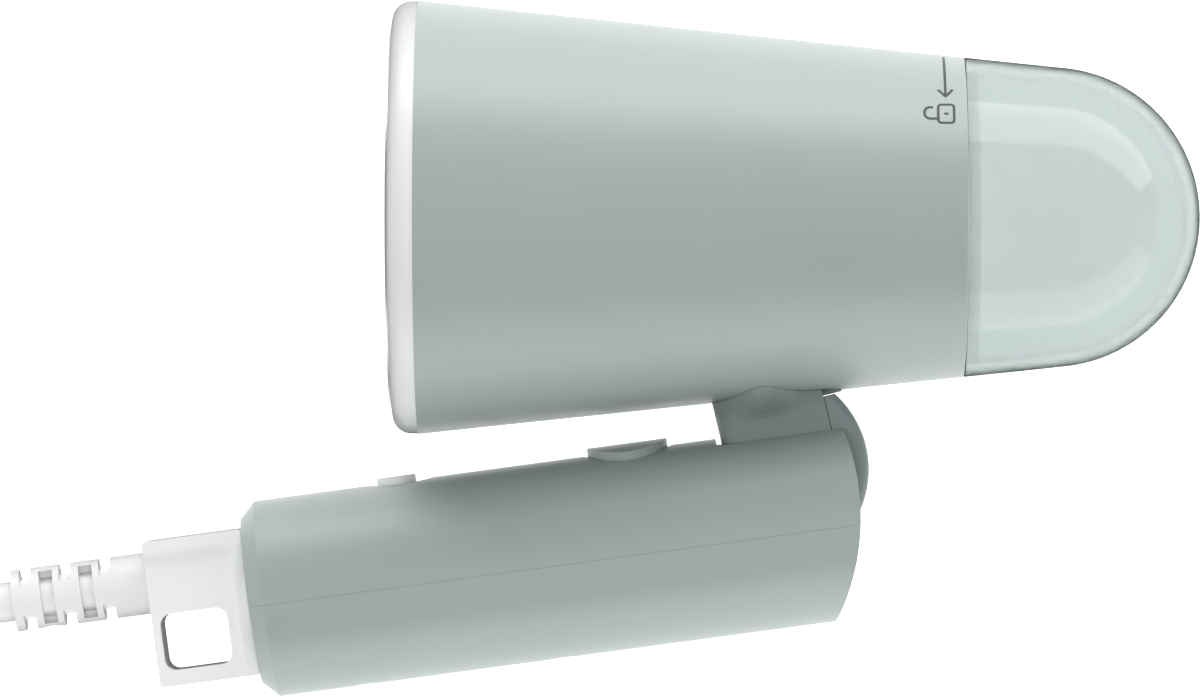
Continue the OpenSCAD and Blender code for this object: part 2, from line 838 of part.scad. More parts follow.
module tact_switch() {
    block([6, switch_top - board_y - board_t, 6], [0, (switch_top + board_y + board_t) / 2, 0]);
    post(3.4, switch_top - 0.1, plunger_top);
}

module trigger_switch() {
    color(black_plastic) handle_frame() translate([-trigger_at, 0, 0]) tact_switch();
}

module power_switch() {
    color(black_plastic) handle_frame() translate([-button_at, 0, 0]) tact_switch();
}

module trigger_spring() {
    color(steel) handle_frame() translate([-trigger_at, 0, 0])
        coil_spring(11, 0.7, 4, board_y + board_t + 0.4, 12.4);
}

module steam_trigger() {
    color(sage) handle_frame() translate([-trigger_at, 0, 0]) difference() {
        union() {
            intersection() {
                post(trigger_d, 12.8, 30);
                translate([trigger_at, 0, 0]) rod(2 * trigger_crown_r, -60, 0);
            }
            post(16.6, 12.8, 13.8);
        }
        difference() {
            post(trigger_d - 3, 12, 15.6);
            post(4, 12.5, 20);
        }
    }
}

module power_button() {
    color("white") handle_frame() translate([-button_at, 0, 0]) {
        difference() {
            post(button_d, 13.6, button_top);
            // Slightly dished finger face
            translate([0, button_top + 19.7, 0]) sphere(r = 20);
        }
        post(9.2, 13.6, 14.4);
        post(3.4, plunger_top + button_travel + 0.1, 13.7);
    }
}

module handle_wires() {
    color("dimgray") handle_frame() {
        sweep([[-84.9, 5.5, 0], [-83.8, 5.5, 0], [-83, 4.9, 2.2], [-81.4, 3.7, 5.2], [-77.5, 0.6, 6.6],
            [-73.5, -2.4, 7], [-68, -4, 7]], 3, 8);
        sweep([[-50, -4.5, 6.5], [-40, -7, 5.5], [-30, -7, 2], [-22, -5, 0.5], [-18, -2, 0]], 4, 8);
    }
}

// ---- Cord end of the handle ----

module rounded_block(x0, x1, y0, y1, r, h) {
    translate([0, 0, -h / 2]) linear_extrude(h) {
        translate([x0 + r, y0]) square([x1 - x0 - 2 * r, y1 - y0]);
        translate([x0, y0 + r]) square([x1 - x0, y1 - y0 - 2 * r]);
        for (x = [x0 + r, x1 - r]) for (y = [y0 + r, y1 - r]) translate([x, y]) circle(r = r);
    }
}

module cord_connector() {
    rim_top = 2.1;
    rim_rear = 2.1;
    color(cord_white) handle_frame() difference() {
        union() {
            rounded_block(block_x0, block_x0 + block_len, -block_h / 2, block_h / 2, 0.7, block_w);
            rod(18, -handle_len - 0.5, 3.4 - handle_len);
            rod(24, 2.5 - handle_len, 4.8 - handle_len);
        }
        // Shallow side panels, open to the rear and below
        for (s = [-1, 1]) translate([0, 0, s * (block_w / 2 - pocket_depth / 2)])
            rounded_block(block_x0 - 5, -handle_len - rim_rear, -20, block_h / 2 - rim_top, 2,
                pocket_depth + 0.01);
        // Hanging hole
        rounded_block(hole_x0, hole_x0 + hole_w, hole_y0, hole_y0 + hole_h, 2, 30);
        translate([0, cord_y, 0]) rod(cord_d + 2 * cord_gap, block_x0 - 1, 8 - handle_len);
    }
}

module strain_relief() {
    web_t = 2;
    color(cord_white) handle_frame() translate([relief_x0, cord_y, 0]) difference() {
        rod(relief_d, 0, relief_len);
        rod(cord_d + 2 * cord_gap, -1, relief_len + 1);
        // Windows on both flanks down to a web, then slots above and below between them
        for (i = [0 : 1]) for (z = [-1, 1])
            block([2.4, 9.2, 10], [6.2 + i * notch_pitch, 0, z * (5 + web_t / 2)]);
        for (i = [0 : 2]) for (y = [-1, 1])
            block([2.1, 3, 20], [2.6 + i * notch_pitch, y * (relief_d / 2 - 1.3), 0]);
    }
}

module cord_inner() {
    color("white") handle_frame() translate([0, cord_y, 0]) rod(cord_d, relief_x0, 11.4 - handle_len);
}

module cord_clamp() {
    color(black_plastic) handle_frame() difference() {
        block([6.4, 8.4, 18], [8.1 - handle_len, 4.5, 0]);
        translate([0, cord_y, 0]) rod(cord_d + 2 * cord_gap, -handle_len, 14 - handle_len);
    }
}

// ---- Free cord and plug ----

module cord_lead() {
    color("white") sweep(lead_route, cord_d, 12);
}

module cord_tail() {
    color("white") sweep(tail_route, cord_d, 12);
}

module cord_coil() {
    pad = cord_d / 2;
    color("white") translate([coil_c[0], coil_c[1], cord_lift]) rotate_extrude()
        translate([coil_in_r - pad, 0]) square([coil_out_r - coil_in_r + cord_d, 2 * cord_d + 0.1]);
}

module cable_tie() {
    width = 10;
    inner_x = coil_in_r - cord_d / 2;
    outer_x = coil_out_r + cord_d / 2;
    top = cord_lift + 2 * cord_d + 0.1;
    color("dimgray") translate([coil_c[0], coil_c[1], 0]) rotate([0, 0, tie_angle])
        translate([0, width / 2, 0]) rotate([90, 0, 0]) linear_extrude(width) difference() {
            translate([inner_x - 1.2, 0.05]) square([outer_x - inner_x + 2.4, top + 0.6]);
            translate([inner_x - 0.5, cord_lift - 0.05])
                square([outer_x - inner_x + 0.8, top - cord_lift + 0.1]);
        }
}

module plug_frame() {
    translate(plug_at) rotate([0, 0, plug_heading]) rotate([0, -plug_pitch, 0]) children();
}

module plug_body() {
    cone_x = plug_relief_len;
    disc_x = plug_relief_len + plug_cone_len;
    color("white") plug_frame() {
        taper(cord_d + 2, 12, 0, cone_x);
        taper(12, 30, cone_x, disc_x);
        rod(plug_face_d, disc_x, plug_len);
    }
}

module plug_pins() {
    color(steel) plug_frame() for (s = [-1, 1]) translate([0, s * plug_pin_pitch / 2, 0]) {
        rod(plug_pin_d, plug_len, plug_len + plug_pin_len - plug_pin_d / 2);
        translate([plug_len + plug_pin_len - plug_pin_d / 2, 0, 0]) sphere(d = plug_pin_d);
    }
}

head_shell();
front_ring();
steam_plate();
plate_gasket();
steam_chamber();
chamber_cover();
heating_element();
thermostat();
thermal_fuse();
chamber_screws();
heat_shield();
pump_body();
pump_coil();
pump_yoke();
pump_plunger();
pump_spring();
pump_bracket();
outlet_hose();
inlet_hose();
tank_receiver();
docking_seal();
neck_arm();
neck_cap();
neck_nut();
head_wires();
hinge_washers();
lock_ring();
tank_bowl();
tank_collar();
tank_cap();
tank_seal();
valve_plunger();
valve_spring();
hinge_pin();
handle_upper();
handle_lower();
handle_screws();
circuit_board();
trigger_switch();
power_switch();
trigger_spring();
handle_wires();
steam_trigger();
power_button();
cord_connector();
cord_clamp();
strain_relief();
cord_inner();
cord_lead();
cord_coil();
cord_tail();
cable_tie();
plug_body();
plug_pins();
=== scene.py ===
"""Looks for a folding travel steamer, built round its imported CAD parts. Metres, the row frame."""
import json
import math

import bmesh
import bpy
from mathutils import Matrix, Vector

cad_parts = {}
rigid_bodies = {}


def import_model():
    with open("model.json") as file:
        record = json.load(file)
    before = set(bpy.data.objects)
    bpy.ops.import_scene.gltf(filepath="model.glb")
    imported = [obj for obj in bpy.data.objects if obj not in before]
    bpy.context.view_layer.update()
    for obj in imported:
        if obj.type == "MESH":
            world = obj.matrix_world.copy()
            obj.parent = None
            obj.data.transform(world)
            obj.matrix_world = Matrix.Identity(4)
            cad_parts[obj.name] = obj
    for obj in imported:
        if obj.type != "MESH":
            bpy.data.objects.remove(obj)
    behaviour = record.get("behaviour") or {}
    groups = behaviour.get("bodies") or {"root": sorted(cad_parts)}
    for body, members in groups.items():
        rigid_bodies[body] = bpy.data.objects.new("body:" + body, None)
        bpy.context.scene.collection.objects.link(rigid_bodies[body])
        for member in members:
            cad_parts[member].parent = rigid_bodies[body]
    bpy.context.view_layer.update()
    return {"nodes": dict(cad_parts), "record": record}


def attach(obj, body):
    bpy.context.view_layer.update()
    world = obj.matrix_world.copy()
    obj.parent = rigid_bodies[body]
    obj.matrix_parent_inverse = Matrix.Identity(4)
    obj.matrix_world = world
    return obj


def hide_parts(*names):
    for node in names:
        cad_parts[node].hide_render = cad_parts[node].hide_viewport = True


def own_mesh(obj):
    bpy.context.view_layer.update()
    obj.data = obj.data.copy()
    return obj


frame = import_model()
NODES = frame["nodes"]
scene = bpy.context.scene
MM = 0.001

# ---- The part's own axes, with the sizes that part.scad gives them, in mm ----
MID_X, MID_Y = 32.5124, -22.9629        # middle of the steamer's box, from the head's front rim
AXIS_Z = 37.95                          # height of the mid-plane
CONE = math.radians(5.98)               # slope of the shell's side
SHELL_R = 37.95                         # the shell's radius at its front rim
CORD_D = 6.9


def head(x, y, z=0.0):
    """A point given from the head's front rim and axis, in the row frame, in metres."""
    return Vector(((x - MID_X) * MM, (y - MID_Y) * MM, (AXIS_Z + z) * MM))


def cone_r(x):
    """The shell's radius at a distance from its front rim."""
    return SHELL_R - x * math.tan(CONE)


# ---- Camera: level side view of a steamer that lies on its side, so it looks straight down ----
CAM_AT = Vector((0.0165, -0.0003, 1.608))
CAM_TO = Vector((-0.0008, 0.0, 0.03795))
cam_data = bpy.data.cameras.new("camera")
cam_data.sensor_width = 36
cam_data.lens = 269
cam = bpy.data.objects.new("camera", cam_data)
scene.collection.objects.link(cam)
back = (CAM_AT - CAM_TO).normalized()
right = Vector((0, 1, 0)).cross(back).normalized()
up = back.cross(right)
cam.matrix_world = Matrix.Translation(CAM_AT) @ Matrix((right, up, back)).transposed().to_4x4()
scene.camera = cam
scene.view_settings.view_transform = "Standard"


# ---- Materials ----
BLOTCH, SMEAR = 45, 160                 # noise scales of a plastic's colour and of its gloss
GRAIN_DEPTH, WEAVE_DEPTH = 0.00005, 0.0002
MIX_A, MIX_B, MIX_OUT = 6, 7, 2         # the colour sockets of a Mix node


def shader_nodes(name):
    """A new material, with its node tree and its Principled node."""
    m = bpy.data.materials.new(name)
    m.use_nodes = True
    nt = m.node_tree
    return m, nt, nt.nodes["Principled BSDF"]


def add(nt, kind, inputs=None, **props):
    """A new node with its properties and its constant inputs set."""
    n = nt.nodes.new(kind)
    for k, v in props.items():
        setattr(n, k, v)
    for k, v in (inputs or {}).items():
        n.inputs[k].default_value = v
    return n


def noise(nt, coords, scale, detail=3.0, rough=0.55, stretch=None):
    """A noise texture in metres; stretch scales its space first."""
    src = coords.outputs["Object"]
    if stretch:
        mp = add(nt, "ShaderNodeMapping", {"Scale": stretch})
        nt.links.new(src, mp.inputs["Vector"])
        src = mp.outputs["Vector"]
    n = add(nt, "ShaderNodeTexNoise", {"Scale": scale, "Detail": detail, "Roughness": rough})
    nt.links.new(src, n.inputs["Vector"])
    return n


def ramp(nt, source, lo, hi, a, b):
    """Maps a source between two positions onto two colours."""
    r = add(nt, "ShaderNodeValToRGB")
    r.color_ramp.elements[0].position = lo
    r.color_ramp.elements[1].position = hi
    r.color_ramp.elements[0].color = (*a, 1)
    r.color_ramp.elements[1].color = (*b, 1)
    nt.links.new(source, r.inputs["Fac"])
    return r


def remap(nt, source, lo, hi):
    """Maps a source from 0 to 1 onto the values between two limits."""
    r = add(nt, "ShaderNodeMapRange", {"To Min": lo, "To Max": hi})
    nt.links.new(source, r.inputs["Value"])
    return r


def plastic(name, colour, rough=0.4, vary=0.03, grain=0.06, grain_scale=5200, fixed=None,
            stretch=None, spread=0.05):
    """Plastic, rubber or metal: faint blotches, uneven gloss and a fine sparked grain."""
    m, nt, b = shader_nodes(name)
    co = add(nt, "ShaderNodeTexCoord")
    cloud = noise(nt, co, BLOTCH, 4, stretch=stretch)
    dark = tuple(c * (1 - vary) for c in colour)
    light = tuple(min(1, c * (1 + vary)) for c in colour)
    nt.links.new(ramp(nt, cloud.outputs["Fac"], 0.3, 0.7, dark, light).outputs["Color"],
                 b.inputs["Base Color"])
    smear = noise(nt, co, SMEAR, 5, stretch=stretch)
    nt.links.new(remap(nt, smear.outputs["Fac"], rough - spread, rough + spread).outputs["Result"],
                 b.inputs["Roughness"])
    fine = noise(nt, co, grain_scale, 2, stretch=stretch)
    bump = add(nt, "ShaderNodeBump", {"Strength": grain, "Distance": GRAIN_DEPTH})
    nt.links.new(fine.outputs["Fac"], bump.inputs["Height"])
    nt.links.new(bump.outputs["Normal"], b.inputs["Normal"])
    for k, v in (fixed or {}).items():
        b.inputs[k].default_value = v
    return m


def clear_plastic(name, colour, rough, milk, density):
    """Smoky clear plastic: tinted, a little milky and denser through its thickness, with a painted
    dark rim where it is seen edge-on.
    """
    m, nt, b = shader_nodes(name)
    co = add(nt, "ShaderNodeTexCoord")
    flow = noise(nt, co, 30, 3, stretch=(1, 3, 3))
    pale = tuple(min(1, c * 1.02) for c in colour)
    tint = ramp(nt, flow.outputs["Fac"], 0.35, 0.65, colour, pale)
    # Painted shade: where the tank is seen edge-on, its base colour is darkened towards a dark
    # grey-green. This is a painted dark contour.
    graze = add(nt, "ShaderNodeLayerWeight", {"Blend": 0.5})
    painted_dark_rim = ramp(nt, graze.outputs["Facing"], 0.72, 0.97, (1, 1, 1), (0.16, 0.2, 0.195))
    tint_with_painted_rim = add(nt, "ShaderNodeMix", {"Factor": 1.0}, data_type="RGBA", blend_type="MULTIPLY")
    nt.links.new(tint.outputs["Color"], tint_with_painted_rim.inputs[MIX_A])
    nt.links.new(painted_dark_rim.outputs["Color"], tint_with_painted_rim.inputs[MIX_B])
    nt.links.new(tint_with_painted_rim.outputs[MIX_OUT], b.inputs["Base Color"])
    nt.links.new(remap(nt, flow.outputs["Fac"], rough * 0.8, rough * 1.2).outputs["Result"],
                 b.inputs["Roughness"])
    b.inputs["Transmission Weight"].default_value = 1 - milk
    b.inputs["IOR"].default_value = 1.4
    b.inputs["Specular IOR Level"].default_value = 0.2
    smoke = add(nt, "ShaderNodeVolumeAbsorption",
                {"Color": (0.42, 0.62, 0.58, 1), "Density": density})
    nt.links.new(smoke.outputs["Volume"], nt.nodes["Material Output"].inputs["Volume"])
    return m


def webbing(name, colour):
    """Woven strap: crossing ribs on its own length and width, with fuzz and uneven dye."""
    m, nt, b = shader_nodes(name)
    uv = add(nt, "ShaderNodeUVMap")
    ribs = []
    for direction, scale in (("X", 14), ("Y", 9)):
        w = add(nt, "ShaderNodeTexWave", {"Scale": scale, "Distortion": 0.6, "Detail": 1.0},
                bands_direction=direction)
        nt.links.new(uv.outputs["UV"], w.inputs["Vector"])
        ribs.append(w)
    weave = add(nt, "ShaderNodeMath", operation="MULTIPLY")
    nt.links.new(ribs[0].outputs["Fac"], weave.inputs[0])
    nt.links.new(ribs[1].outputs["Fac"], weave.inputs[1])
    dark = tuple(c * 0.55 for c in colour)
    nt.links.new(ramp(nt, weave.outputs["Value"], 0.1, 0.7, dark, colour).outputs["Color"],
                 b.inputs["Base Color"])
    b.inputs["Roughness"].default_value = 0.85
    b.inputs["Sheen Weight"].default_value = 0.25
    bump = add(nt, "ShaderNodeBump", {"Strength": 0.6, "Distance": WEAVE_DEPTH})
    nt.links.new(weave.outputs["Value"], bump.inputs["Height"])
    nt.links.new(bump.outputs["Normal"], b.inputs["Normal"])
    return m


METAL = {"Metallic": 1.0}
M = {
    "sage_shell": plastic("sage_shell", (0.335, 0.383, 0.376), 0.38, 0.012, 0.05),
    # sage_dark is a darker copy of the sage plastic. It is painted shade for the parts under the
    # head, such as the neck and its cap, which sit in the head's shadow.
    "sage_dark": plastic("sage_dark", (0.225, 0.262, 0.258), 0.45, 0.02, 0.05),
    # white_plastic and the brighter white below are one white plastic in two tones. The brighter
    # one is painted light, so that the cord connector reads lighter than the front ring.
    "white_plastic": plastic("white_plastic", (0.77, 0.77, 0.767), 0.35, 0.01, 0.02),
    "white_lit_copy": plastic("white_lit_copy", (0.87, 0.87, 0.867), 0.4, 0.01, 0.03),
    "clear_tank": clear_plastic("clear_tank", (0.775, 0.81, 0.803), 0.12, 0.1, 55),
    "clear_collar": plastic("clear_collar", (0.80, 0.84, 0.83), 0.2, 0.01, 0.0,
                            fixed={"Alpha": 0.12}),
    "alloy": plastic("alloy", (0.72, 0.72, 0.73), 0.38, 0.04, 0.12, 2600, METAL),
    "steel": plastic("steel", (0.62, 0.62, 0.64), 0.3, 0.05, 0.1, 2600, METAL),
    "heater_sheath": plastic("heater_sheath", (0.13, 0.12, 0.12), 0.55, 0.2, 0.2, 1800, METAL),
    "silicone": plastic("silicone", (0.40, 0.41, 0.41), 0.6, 0.03, 0.03),
    "white_rubber": plastic("white_rubber", (0.83, 0.83, 0.827), 0.5, 0.015, 0.04),
    "cord_white": plastic("cord_white", (0.86, 0.86, 0.857), 0.45, 0.015, 0.03, 1500),
    "wire_grey": plastic("wire_grey", (0.06, 0.06, 0.065), 0.5, 0.05, 0.03),
    "black_plastic": plastic("black_plastic", (0.018, 0.018, 0.02), 0.45, 0.1, 0.08),
    "ivory_plastic": plastic("ivory_plastic", (0.66, 0.62, 0.5), 0.4, 0.03, 0.04),
    "copper_winding": plastic("copper_winding", (0.60, 0.24, 0.10), 0.3, 0.1, 0.5, 900, METAL,
                              (6, 1, 1)),
    "board_green": plastic("board_green", (0.012, 0.12, 0.045), 0.3, 0.15, 0.1),
    "tie_grey": plastic("tie_grey", (0.10, 0.10, 0.105), 0.8, 0.15, 0.6, 1400),
    "woven_tie": webbing("woven_tie", (0.13, 0.135, 0.14)),
    "print_grey": plastic("print_grey", (0.035, 0.042, 0.042), 0.5, 0.02, 0.02),
}
# Nodes that look unlike the rest of their slot. The cord connector's brighter white is painted
# light, a lit copy of the white plastic.
LOOKS = {"tank_collar": "clear_collar", "cord_connector": "white_lit_copy"}
for row in frame["record"]["subparts"]:
    obj = NODES[row["node"]]
    obj.data.materials.clear()
    obj.data.materials.append(M[LOOKS.get(row["node"], row["material_slot"])])


# ---- Making pieces ----
def mesh_object(name, bm):
    """Links the mesh that bm holds as a new object."""
    me = bpy.data.meshes.new(name)
    bm.to_mesh(me)
    bm.free()
    obj = bpy.data.objects.new(name, me)
    scene.collection.objects.link(obj)
    return obj


def piece(name, bm, slot, body, smooth=True, material=None):
    """Links a mesh as a piece of the object that rides on a body."""
    bmesh.ops.recalc_face_normals(bm, faces=bm.faces)
    obj = mesh_object(name, bm)
    for p in obj.data.polygons:
        p.use_smooth = smooth
    obj.data.materials.append(M[material or slot])
    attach(obj, body)
    return obj


def skin(bm, rings):
    """Faces between equal rings of corners, closed at both ends."""
    n = len(rings[0])
    for a, b in zip(rings, rings[1:]):
        for k in range(n):
            bm.faces.new((a[k], a[(k + 1) % n], b[(k + 1) % n], b[k]))
    bm.faces.new(rings[0])
    bm.faces.new(reversed(rings[-1]))


def catmull(points, parts):
    """Points on a smooth line through the given ones, each gap cut into equal parts."""
    pts = [Vector(p) for p in points]
    line = [pts[0] * 2 - pts[1]] + pts + [pts[-1] * 2 - pts[-2]]
    out = []
    for i in range(1, len(line) - 2):
        p0, p1, p2, p3 = line[i - 1:i + 3]
        for k in range(parts):
            t = k / parts
            out.append(0.5 * (2 * p1 + (p2 - p0) * t + (2 * p0 - 5 * p1 + 4 * p2 - p3) * t * t
                              + (3 * p1 - p0 - 3 * p2 + p3) * t ** 3))
    return out + [pts[-1]]


def arc(cx, cy, r, a0, a1, n):
    """Points round a centre from one angle to another, in degrees."""
    return [(cx + r * math.cos(math.radians(a0 + (a1 - a0) * i / n)),
             cy + r * math.sin(math.radians(a0 + (a1 - a0) * i / n))) for i in range(n + 1)]


# ---- Cord: the route's points as part.scad has them, then the coil's turns ----
LEAD = [(-103.406, -44.263, 37.95), (-111.5, -45.4, 37.6), (-119.5, -46.4, 35.7),
        (-127.5, -47.5, 32.4), (-135.5, -48.6, 28.2), (-143.5, -49.7, 23.6),
        (-151.5, -50.8, 19.2), (-159.5, -51.9, 15.3), (-167.5, -52.9, 12.4), (-177, -54.2, 11.1)]
TAIL = [(-184, -54.7, 4.1), (-195, -54.7, 4.1), (-205, -54.7, 4.1), (-215, -54.7, 4.1),
        (-229.2, -51.9, 4.1), (-241.2, -43.9, 4.3), (-249.2, -31.9, 5.2), (-252, -17.7, 7.4),
        (-252, -8, 9.4)]
COIL_C = (-184, -2.5)                   # the coil's centre, seen from above
COIL_IN, COIL_OUT = 27.5, 52.2          # the inmost and outmost turn, to the cord's middle
LOW_Z, TOP_Z = 4.05, 11.05              # heights of the cord's middle on the two layers
COIL_START = 277.7                      # where the lead joins the top layer, in degrees
TURN_IN, TURN_DROP, TURN_ALL = 3.45, 0.2, 7.0214    # turns inwards, in the drop, in all
STEPS = 36                              # points on each turn


def coil_points():
    """Winds inwards on the top layer, drops at the inner turn, then winds outwards below."""
    out = []
    for i in range(1, int(TURN_ALL * STEPS)):
        t = i / STEPS
        if t < TURN_IN:
            r = COIL_OUT + (COIL_IN - COIL_OUT) * t / TURN_IN
            z = TOP_Z
        elif t < TURN_IN + TURN_DROP:
            r = COIL_IN
            f = (t - TURN_IN) / TURN_DROP
            z = TOP_Z + (LOW_Z - TOP_Z) * (f * f * (3 - 2 * f))
        else:
            f = (t - TURN_IN - TURN_DROP) / (TURN_ALL - TURN_IN - TURN_DROP)
            r = COIL_IN + (COIL_OUT - COIL_IN) * f
            z = LOW_Z
        a = math.radians(COIL_START - 360 * t)
        out.append(Vector((COIL_C[0] + r * math.cos(a), COIL_C[1] + r * math.sin(a), z)))
    return out


route = catmull(LEAD, 2) + coil_points() + catmull(TAIL, 2)
cord_curve = bpy.data.curves.new("mains_cord", "CURVE")
cord_curve.dimensions = "3D"
cord_curve.bevel_depth = CORD_D / 2 * MM
cord_curve.bevel_resolution = 6
cord_curve.use_fill_caps = True
spline = cord_curve.splines.new("POLY")
spline.points.add(len(route) - 1)
for sp, p in zip(spline.points, route):
    sp.co = (p.x * MM, p.y * MM, p.z * MM, 1)
spline.use_smooth = True
cord_curve.materials.append(M["cord_white"])
cord = bpy.data.objects.new("mains_cord", cord_curve)
scene.collection.objects.link(cord)
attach(cord, "handle")
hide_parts("cord_lead", "cord_coil", "cord_tail")

# ---- Plug: a moulded body with a ribbed relief, a waisted grip and a notched face ----
PLUG_TURN, PLUG_RISE = math.radians(90), math.radians(-12)    # its pins tilt up a little
PLUG_AT = Matrix.Translation(Vector(TAIL[-1]) * MM) @ Matrix.Rotation(PLUG_TURN, 4, "Z") \
    @ Matrix.Rotation(PLUG_RISE, 4, "Y")
RELIEF_LEN, GRIP_LEN, PLUG_LEN = 22, 16, 50
FACE_R, GRIP_R, NECK_R, RELIEF_R = 17.65, 15, 6, 4.5
RIBS, RIB_PITCH, GROOVE = 5, 3.6, 0.9
NOTCH_DEPTH, NOTCH_SPAN = 2.4, 0.02     # depth in mm, width as a share of the sine
SIDES = 96                              # corners on each ring


def plug_outline():
    """Distance and radius along the plug, from the cord to its face, in mm."""
    out = [(0, 3.4), (0, 4.1), (0.4, RELIEF_R)]
    for i in range(RIBS):
        x = 2.2 + RIB_PITCH * i
        r = RELIEF_R + (NECK_R - RELIEF_R) * x / RELIEF_LEN
        out += [(x, r), (x + 0.25, r - GROOVE + 0.2), (x + 0.5, r - GROOVE),
                (x + 1.3, r - GROOVE), (x + 1.55, r - GROOVE + 0.2), (x + 1.8, r + 0.05)]
    steps = 12
    for i in range(steps + 1):
        t = i / steps
        out.append((RELIEF_LEN - 1 + (GRIP_LEN + 1) * t,
                    NECK_R + (GRIP_R - NECK_R) * t * t * (3 - 2 * t)))
    out += [(38.2, 16.4), (38.6, 17.2), (39.4, FACE_R), (48.6, FACE_R), (49.5, 17.4),
            (PLUG_LEN - 0.1, 16.9), (PLUG_LEN, 16.2), (PLUG_LEN, 9)]
    return out


def notch(angle, depth):
    """How far the face is cut in at the two sides, for the socket's earth springs."""
    off = abs(abs(math.sin(angle)) - 1)
    return depth * max(0.0, 1 - off / NOTCH_SPAN) ** 0.5


bm = bmesh.new()
rings = []
for x, r in plug_outline():
    depth = NOTCH_DEPTH if x > RELIEF_LEN + GRIP_LEN and r > 10 else 0
    ring = []
    for k in range(SIDES):
        a = 2 * math.pi * k / SIDES
        rr = r - notch(a, depth)
        ring.append(bm.verts.new(PLUG_AT @ Vector((x * MM, rr * math.cos(a) * MM,
                                                   rr * math.sin(a) * MM))))
    rings.append(ring)
skin(bm, rings)
plug_shell = piece("plug_shell", bm, "white_rubber", "handle", material="white_lit_copy")
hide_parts("plug_body")

# ---- Tie: a woven strap round the coil, its free end lapped over itself ----
TIE_ANGLE, TIE_W, TIE_T = math.radians(200), 10, 0.45
TIE_GAP, TIE_DIP = 0.15, 0.35           # clear of the cord, and sunk between its turns
TIE_EDGE = 0.12                         # how far the strap's long edges are rounded off
CORNER_STEPS, TOP_STEPS = 8, 28
LAP, LAP_LIFT = slice(32, 58), 0.05     # the stretch that the free end lies on, and its gap
TIP_ROWS = 8                            # rows over which the free end narrows
CORD_R = CORD_D / 2
TIE_IN, TIE_OUT = COIL_IN - CORD_R, COIL_OUT + CORD_R
TIE_HIGH = TOP_Z + CORD_R


def tie_path():
    """The strap's inner face, (distance from the coil's centre, height), once round the turns."""
    out = []
    for cx, cz, a0 in ((TIE_OUT - CORD_R, TOP_Z, 90), (TIE_OUT - CORD_R, LOW_Z, 0),
                       (TIE_IN + CORD_R, LOW_Z, -90), (TIE_IN + CORD_R, TOP_Z, -180)):
        out += arc(cx, cz, CORD_R + TIE_GAP, a0, a0 - 90, CORNER_STEPS)
    turns = (TIE_OUT - TIE_IN) / CORD_D
    for i in range(1, TOP_STEPS):
        t = i / TOP_STEPS
        dip = TIE_DIP * math.sin(math.pi * t * turns) ** 2
        out.append((TIE_IN + CORD_R + (TIE_OUT - TIE_IN - CORD_D) * t, TIE_HIGH + TIE_GAP - dip))
    return out


def strap(bm, path, closed, thick, across=8, tip=0.0):
    """A flat woven strap along a path of (distance, height), with its thickness outwards."""
    uv = bm.loops.layers.uv.verify()
    n = len(path)
    rows, along = [], [0.0]
    for i, (d, z) in enumerate(path):
        before = path[i - 1] if closed or i else path[i]
        after = path[(i + 1) % n] if closed or i < n - 1 else path[i]
        run = Vector((after[0] - before[0], after[1] - before[1])).normalized()
        out = Vector((-run.y, run.x))
        half = TIE_W / 2
        if tip and i > n - TIP_ROWS:
            narrow = ((i - n + TIP_ROWS) / (TIP_ROWS - 1)) ** 2
            half *= math.sqrt(max(0.05, 1 - narrow * tip))
        row = []
        for lift in (0, thick):
            for j in range(across + 1):
                v = half * (2 * j / across - 1)
                edge = TIE_EDGE if j in (0, across) else 0
                rise = lift - (edge if lift else -edge)
                dd, zz = d + out.x * rise, z + out.y * rise
                x = dd * math.cos(TIE_ANGLE) - v * math.sin(TIE_ANGLE) + COIL_C[0]
                y = dd * math.sin(TIE_ANGLE) + v * math.cos(TIE_ANGLE) + COIL_C[1]
                row.append(bm.verts.new((x * MM, y * MM, zz * MM)))
        rows.append(row)
        if i:
            along.append(along[-1] + math.dist(path[i - 1], (d, z)))
    along.append(along[-1] + math.dist(path[-1], path[0]))
    m = across + 1
    loop = list(range(m)) + list(range(2 * m - 1, m - 1, -1))
    for i in range(n if closed else n - 1):
        a, b = rows[i], rows[(i + 1) % n]
        for k in range(2 * m):
            p, q = loop[k], loop[(k + 1) % (2 * m)]
            f = bm.faces.new((a[p], a[q], b[q], b[p]))
            for corner, (u, v) in zip(f.loops, ((i, p), (i, q), (i + 1, q), (i + 1, p))):
                corner[uv].uv = (along[u] / TIE_W, (v % m) / across)
    if not closed:
        bm.faces.new([rows[0][k] for k in loop])
        bm.faces.new([rows[-1][k] for k in reversed(loop)])


bm = bmesh.new()
around_coil = tie_path()
strap(bm, around_coil, True, TIE_T)
lap = [(d, z + TIE_T + LAP_LIFT) for d, z in around_coil[LAP]]
strap(bm, lap, False, TIE_T, tip=1.0)
tie_strap = piece("tie_strap", bm, "tie_grey", "handle", material="woven_tie")
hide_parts("cable_tie")


# ---- Springs: copies that ride on their joints' parent bodies ----
def live_spring(node, joint):
    """A copy of a spring on a mesh of its own, riding on its joint's parent body in place of the
    CAD spring.
    """
    obj = bpy.data.objects.new(node + "_coil", NODES[node].data.copy())
    scene.collection.objects.link(obj)
    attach(obj, joint["parent"])
    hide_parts(node)
    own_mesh(obj)


for row in frame["record"]["behaviour"]["joints"]:
    for soft in row.get("deforming_nodes", []):
        live_spring(soft["node"], row)


